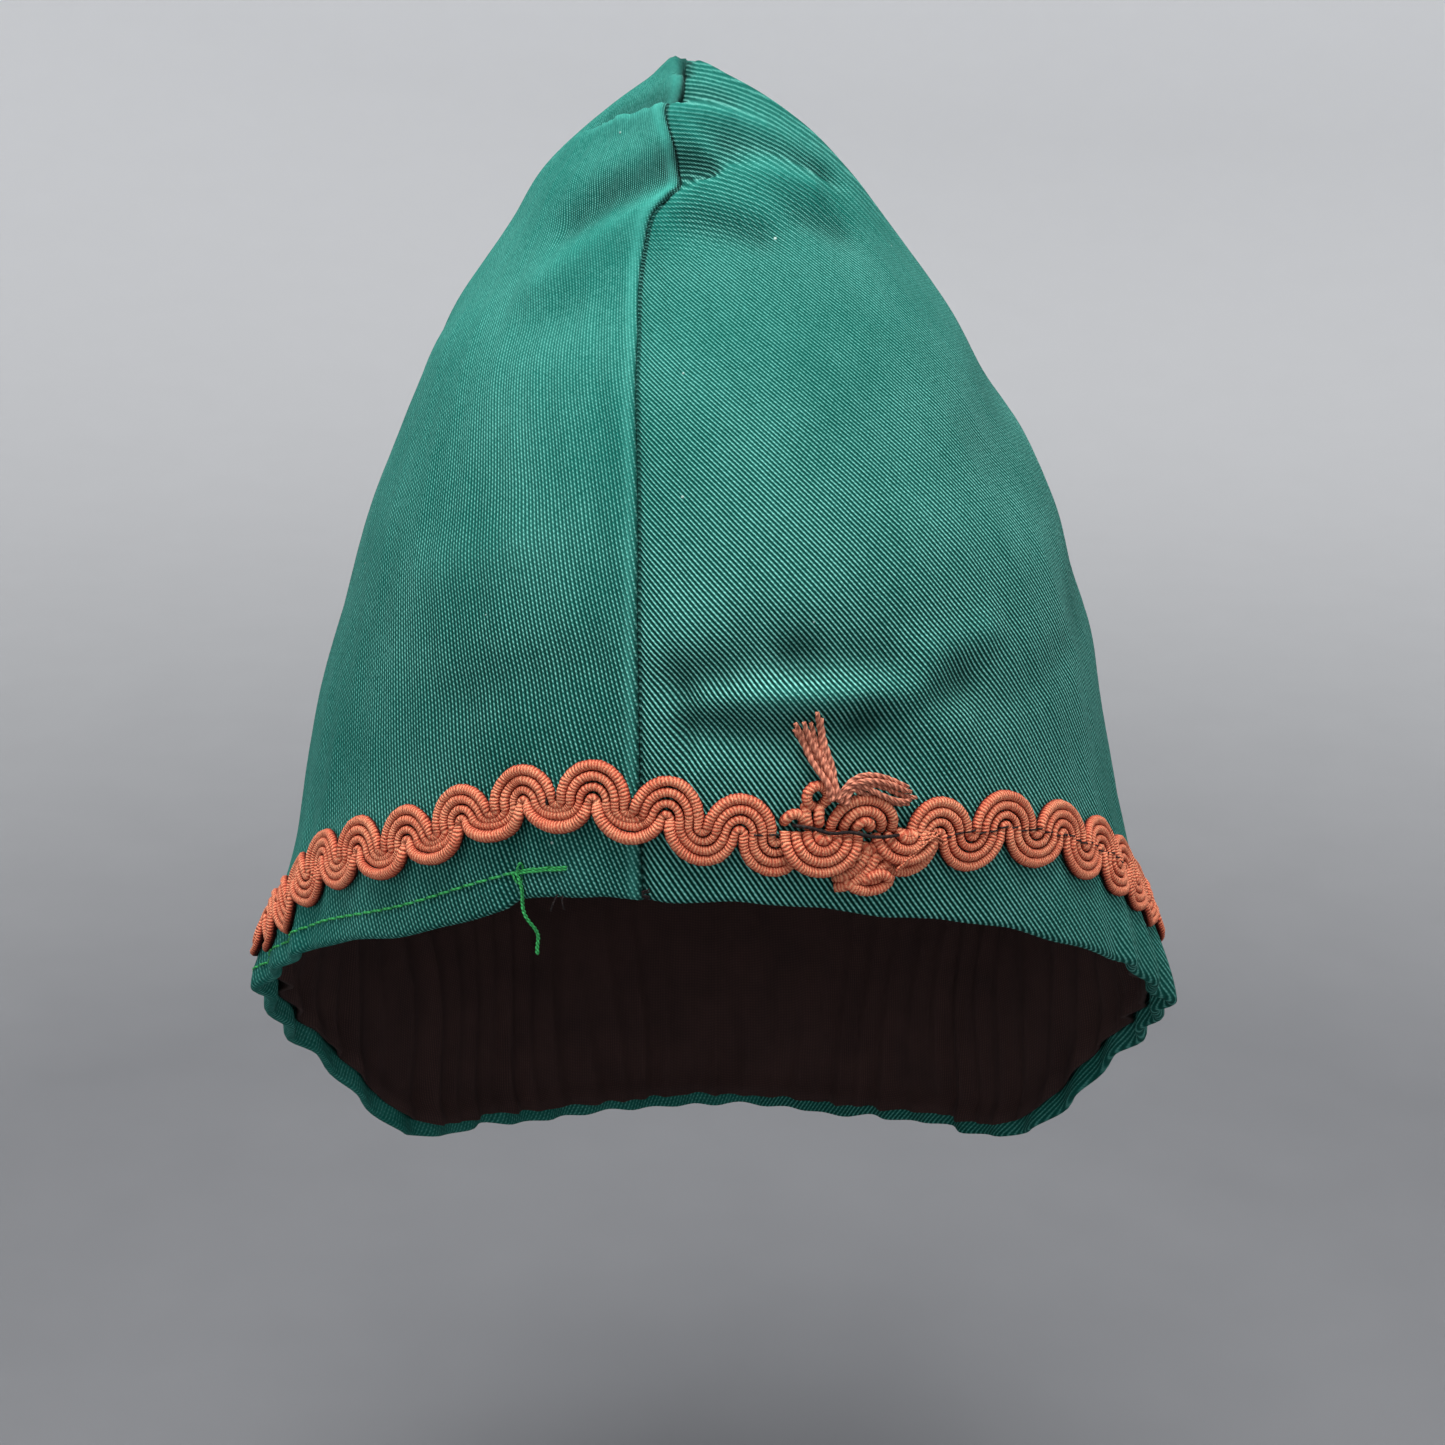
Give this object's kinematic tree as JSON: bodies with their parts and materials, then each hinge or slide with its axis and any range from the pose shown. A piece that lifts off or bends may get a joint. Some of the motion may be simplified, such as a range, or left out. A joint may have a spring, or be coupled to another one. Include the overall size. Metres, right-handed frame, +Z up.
{
  "type": "pointed hood",
  "caption": "Pointed cloth hood, open at the face, with a dropped and gathered nape, a dark lining and a scrolled gimp braid above the hem.",
  "frame": {"origin": "on the axis of the head that fills the hood, at the height of the hem at the middle of the forehead", "axes": "+Z up to the peak, the face opening looks along -Y, +X is to the right as seen from the front"},
  "size_m": [0.2285, 0.2148, 0.3155],
  "materials": {
    "green_drill": "blue-green cotton drill with a pronounced pale twill line",
    "dark_lining": "near-black brown crinkled lining cloth, matt",
    "copper_gimp": "copper-coloured wrapped gimp cord, lightly lustrous"
  },
  "bodies": {
    "root": {"panel_left": "green_drill", "panel_right": "green_drill", "lining": "dark_lining", "braid": "copper_gimp", "braid_join": "copper_gimp", "braid_tail_upper": "copper_gimp", "braid_tail_right": "copper_gimp"}
  },
  "joints": []
}
